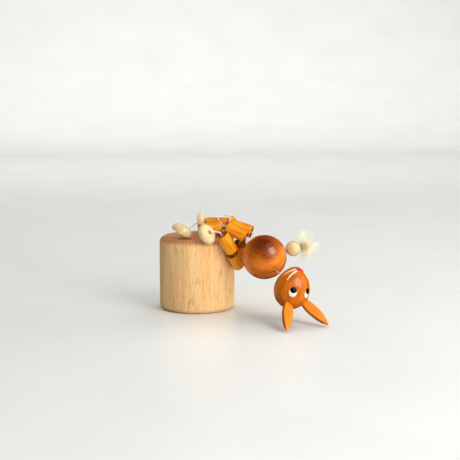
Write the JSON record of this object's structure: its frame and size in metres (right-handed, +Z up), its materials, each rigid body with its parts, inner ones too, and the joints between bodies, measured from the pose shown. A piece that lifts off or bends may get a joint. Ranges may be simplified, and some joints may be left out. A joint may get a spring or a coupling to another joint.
{
  "type": "push puppet toy",
  "caption": "Jointed wooden rabbit slumped over a round beech base; a sprung button under the base slackens the cords that hold its legs, body and head together.",
  "frame": {"origin": "on the floor, under the middle of the whole figure's bounding box as it lies slumped", "axes": "+Z up along the round base's axis; +X to the right and -Y to the front of the view in which the head hangs at the right front"},
  "size_m": [0.0848, 0.0832, 0.0502],
  "materials": {
    "beech": "fine sanded, oiled",
    "pale_wood": "clear varnish, satin",
    "orange_wood": "orange stain under glossy varnish",
    "orange_ear": "orange stain, satin varnish",
    "brown_wood": "dark reddish stain under glossy varnish",
    "brown_head": "brown-orange stain under glossy varnish",
    "cord": "white twisted cotton cord",
    "tuft": "frayed cream cotton",
    "steel": "plain spring wire"
  },
  "bodies": {
    "base": {"base": "beech", "button_spring": "steel", "leg_cord_front_left": "cord", "leg_cord_front_right": "cord", "leg_cord_back_right": "cord", "leg_cord_back_left": "cord"},
    "button": {"button": "beech"},
    "body": {"body": "brown_wood", "tail_bead": "pale_wood", "tail_tuft": "tuft", "tail_cord": "cord", "neck_cord": "cord"},
    "head": {"head": "brown_head", "ear_left": "orange_ear", "ear_right": "orange_ear"},
    "foot_front_left": {"foot_front_left": "pale_wood"},
    "leg_lower_front_left": {"leg_lower_front_left": "orange_wood"},
    "leg_upper_front_left": {"leg_upper_front_left": "orange_wood"},
    "foot_front_right": {"foot_front_right": "pale_wood"},
    "leg_lower_front_right": {"leg_lower_front_right": "orange_wood"},
    "leg_upper_front_right": {"leg_upper_front_right": "orange_wood"},
    "foot_back_right": {"foot_back_right": "pale_wood"},
    "leg_lower_back_right": {"leg_lower_back_right": "orange_wood"},
    "leg_upper_back_right": {"leg_upper_back_right": "orange_wood"},
    "foot_back_left": {"foot_back_left": "pale_wood"},
    "leg_lower_back_left": {"leg_lower_back_left": "orange_wood"},
    "leg_upper_back_left": {"leg_upper_back_left": "orange_wood"}
  },
  "joints": [
    {"name": "rise", "type": "hinge", "parent": "base", "child": "body", "pos_m": [-0.00739, 0.01561, 0.045], "axis": [-0.3011, -0.9536, 0], "range_deg": [0, 45], "deforming": ["leg_cord_front_left", "leg_cord_front_right", "leg_cord_back_right", "leg_cord_back_left", "button_spring", "neck_cord"]},
    {"name": "button_travel", "type": "slide", "parent": "base", "child": "button", "axis": [0, 0, 1], "range_m": [-0.00408, 0]},
    {"name": "head_tilt", "type": "hinge", "parent": "body", "child": "head", "pos_m": [0.01785, -0.0086, 0.02492], "axis": [0.6988, 0.7112, -0.0758], "range_deg": [0, 39.63]},
    {"name": "hip_front_left", "type": "hinge", "parent": "body", "child": "leg_upper_front_left", "pos_m": [-0.00047, 0.01276, 0.02406], "axis": [-0.3306, 0.6018, 0.727], "range_deg": [0, 4.3]},
    {"name": "sole_front_left", "type": "hinge", "parent": "base", "child": "foot_front_left", "pos_m": [-0.01809, 0.00271, 0.0416], "axis": [0.0909, -0.7266, -0.681], "range_deg": [0, 14.3]},
    {"name": "ankle_front_left", "type": "hinge", "parent": "foot_front_left", "child": "leg_lower_front_left", "pos_m": [-0.00985, 0.00004, 0.04223], "axis": [0.2702, -0.9624, -0.026], "range_deg": [0, 31.86]},
    {"name": "hip_front_right", "type": "hinge", "parent": "body", "child": "leg_upper_front_right", "pos_m": [0.00159, 0.02442, 0.03842], "axis": [0.5741, 0.7324, -0.3661], "range_deg": [0, 9.11]},
    {"name": "sole_front_right", "type": "hinge", "parent": "base", "child": "foot_front_right", "pos_m": [-0.03089, 0.01021, 0.0416], "axis": [-0.0371, 0.0724, 0.9967], "range_deg": [0, 14.3]},
    {"name": "ankle_front_right", "type": "hinge", "parent": "foot_front_right", "child": "leg_lower_front_right", "pos_m": [-0.0208, 0.01271, 0.0425], "axis": [-0.7299, 0.2268, -0.6449], "range_deg": [0, 43]},
    {"name": "hip_back_right", "type": "hinge", "parent": "body", "child": "leg_upper_back_right", "pos_m": [0.00333, 0.00804, 0.03984], "axis": [-0.4464, -0.8888, 0.1038], "range_deg": [0, 6.9]},
    {"name": "sole_back_right", "type": "hinge", "parent": "base", "child": "foot_back_right", "pos_m": [-0.02169, 0.02631, 0.0446], "axis": [-0.3961, -0.516, -0.7595], "range_deg": [0, 14.3]},
    {"name": "ankle_back_right", "type": "hinge", "parent": "foot_back_right", "child": "leg_lower_back_right", "pos_m": [-0.01695, 0.02517, 0.0447], "axis": [-0.8362, 0.5437, 0.072], "range_deg": [0, 5.3]},
    {"name": "hip_back_left", "type": "hinge", "parent": "body", "child": "leg_upper_back_left", "pos_m": [0.00141, 0.02003, 0.02769], "axis": [0.0909, -0.6842, -0.7236], "range_deg": [0, 22.3]},
    {"name": "sole_back_left", "type": "hinge", "parent": "base", "child": "foot_back_left", "pos_m": [-0.01209, 0.03361, 0.0414], "axis": [-0.0701, -0.7994, 0.5967], "range_deg": [0, 14.3]},
    {"name": "ankle_back_left", "type": "hinge", "parent": "foot_back_left", "child": "leg_lower_back_left", "pos_m": [-0.00413, 0.01772, 0.04471], "axis": [-0.9109, 0.3936, -0.1241], "range_deg": [0, 64.68]}
  ],
  "couplings": [
    {"joint": "button_travel", "follows": "rise", "m_per_rad": -0.005093},
    {"joint": "head_tilt", "follows": "rise", "ratio": 0.874},
    {"joint": "hip_front_left", "follows": "rise", "ratio": 0.08889},
    {"joint": "sole_front_left", "follows": "rise", "ratio": 0.31111},
    {"joint": "ankle_front_left", "follows": "rise", "ratio": 0.70133},
    {"joint": "hip_front_right", "follows": "rise", "ratio": 0.19578},
    {"joint": "sole_front_right", "follows": "rise", "ratio": 0.31111},
    {"joint": "ankle_front_right", "follows": "rise", "ratio": 0.94889},
    {"joint": "hip_back_right", "follows": "rise", "ratio": 0.14667},
    {"joint": "sole_back_right", "follows": "rise", "ratio": 0.31111},
    {"joint": "ankle_back_right", "follows": "rise", "ratio": 0.11111},
    {"joint": "hip_back_left", "follows": "rise", "ratio": 0.48889},
    {"joint": "sole_back_left", "follows": "rise", "ratio": 0.31111},
    {"joint": "ankle_back_left", "follows": "rise", "ratio": 1.4307}
  ]
}
